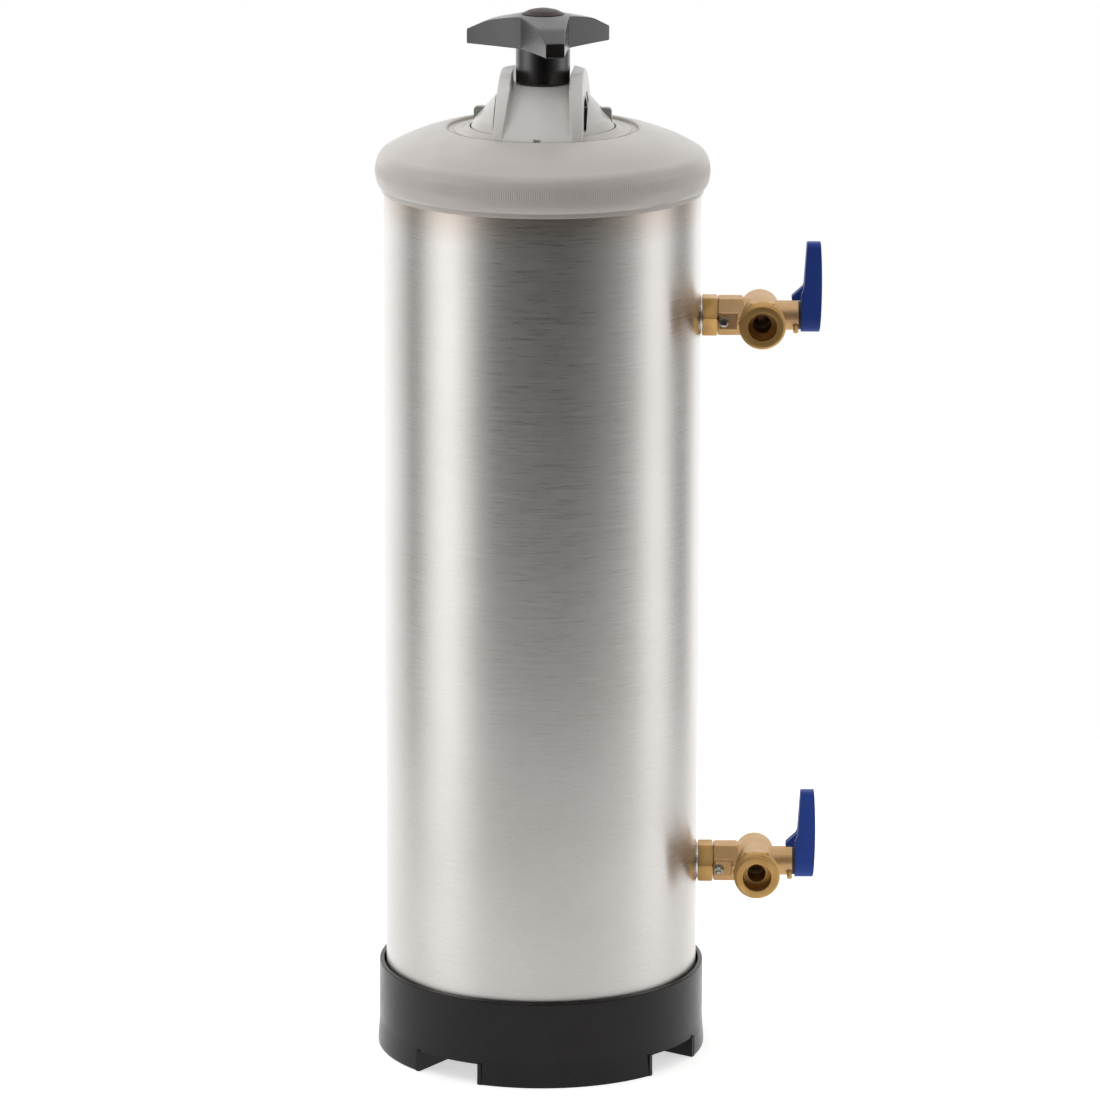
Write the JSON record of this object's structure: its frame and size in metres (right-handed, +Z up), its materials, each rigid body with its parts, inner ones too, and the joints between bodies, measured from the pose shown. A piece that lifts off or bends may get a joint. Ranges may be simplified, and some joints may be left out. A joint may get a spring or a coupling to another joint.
{
  "type": "manual water softener",
  "caption": "Upright stainless resin cylinder with foot ring, moulded shoulder, clamped filling mouth with hand knob, and brass three-way taps with levers on one side.",
  "frame": {"origin": "on the floor, under the tank's axis, at the middle of the foot ring", "axes": "+Z up along the tank axis, +X towards the taps, -Y towards the front, where the hose ports point"},
  "size_m": [0.2537, 0.19, 0.6068],
  "materials": {
    "shell_steel": "brushed round the tank, satin",
    "bright_steel": "turned, satin",
    "screw_steel": "zinc plated",
    "ball_chrome": "polished",
    "skirt_plastic": "moulded, finely grained",
    "collar_plastic": "moulded, satin",
    "bridge_plastic": "moulded, satin",
    "bar_plastic": "moulded, satin",
    "knob_plastic": "moulded, satin",
    "cap_plastic": "moulded, satin",
    "cast_brass": "cast, tumbled",
    "turned_brass": "turned",
    "lever_plastic": "moulded, semi-gloss",
    "seal_rubber": "matte",
    "white_plastic": "moulded",
    "resin": "packed beads"
  },
  "bodies": {
    "tank": {"base_skirt": "skirt_plastic", "bottom_head": "shell_steel", "tank_shell": "shell_steel", "top_head": "shell_steel", "mouth_ring": "bright_steel", "resin_bed": "resin", "top_collar": "collar_plastic", "inlet_socket": "bright_steel", "inlet_strainer": "white_plastic", "inlet_union_nut": "turned_brass", "inlet_tail_gasket": "seal_rubber", "inlet_tail_nipple": "turned_brass", "inlet_tap_body": "cast_brass", "inlet_port_nipple": "turned_brass", "inlet_drain_tail": "turned_brass", "inlet_ball_seats": "white_plastic", "inlet_neck_disc": "seal_rubber", "inlet_stop_pins": "turned_brass", "inlet_set_screw": "screw_steel", "outlet_socket": "bright_steel", "outlet_strainer": "white_plastic", "outlet_union_nut": "turned_brass", "outlet_tail_gasket": "seal_rubber", "outlet_tail_nipple": "turned_brass", "outlet_tap_body": "cast_brass", "outlet_port_nipple": "turned_brass", "outlet_drain_tail": "turned_brass", "outlet_ball_seats": "white_plastic", "outlet_neck_disc": "seal_rubber", "outlet_stop_pins": "turned_brass", "outlet_set_screw": "screw_steel"},
    "bridge": {"bridge": "bridge_plastic", "lid_cone": "bridge_plastic", "cross_bar": "bar_plastic", "thrust_washer": "bright_steel"},
    "knob": {"knob": "knob_plastic", "knob_insert": "turned_brass", "knob_cap": "cap_plastic"},
    "plug": {"plug": "bright_steel", "plug_gasket": "seal_rubber", "plug_stud": "bright_steel", "stud_nuts": "bright_steel", "stud_washer": "bright_steel"},
    "inlet_handle": {"inlet_ball": "ball_chrome", "inlet_stem": "turned_brass", "inlet_stem_seals": "seal_rubber", "inlet_lever": "lever_plastic", "inlet_lever_screw": "screw_steel"},
    "outlet_handle": {"outlet_ball": "ball_chrome", "outlet_stem": "turned_brass", "outlet_stem_seals": "seal_rubber", "outlet_lever": "lever_plastic", "outlet_lever_screw": "screw_steel"}
  },
  "joints": [
    {"name": "bridge_lift", "type": "slide", "parent": "tank", "child": "bridge", "axis": [0, 0, 1], "range_m": [0, 0.08]},
    {"name": "knob_turn", "type": "hinge", "parent": "bridge", "child": "knob", "pos_m": [0, 0, 0.59], "axis": [0, 0, 1], "range_deg": [0, 1440]},
    {"name": "plug_travel", "type": "slide", "parent": "tank", "child": "plug", "axis": [0, 0, -1], "range_m": [0, 0.0071]},
    {"name": "inlet_lever_turn", "type": "hinge", "parent": "tank", "child": "inlet_handle", "pos_m": [0.1242, 0, 0.4311], "axis": [1, 0, 0], "range_deg": [-90, 90]},
    {"name": "outlet_lever_turn", "type": "hinge", "parent": "tank", "child": "outlet_handle", "pos_m": [0.1242, 0, 0.1082], "axis": [1, 0, 0], "range_deg": [-90, 90]}
  ],
  "couplings": [
    {"joint": "plug_travel", "follows": "knob_turn", "m_per_rad": 0.00027852}
  ]
}
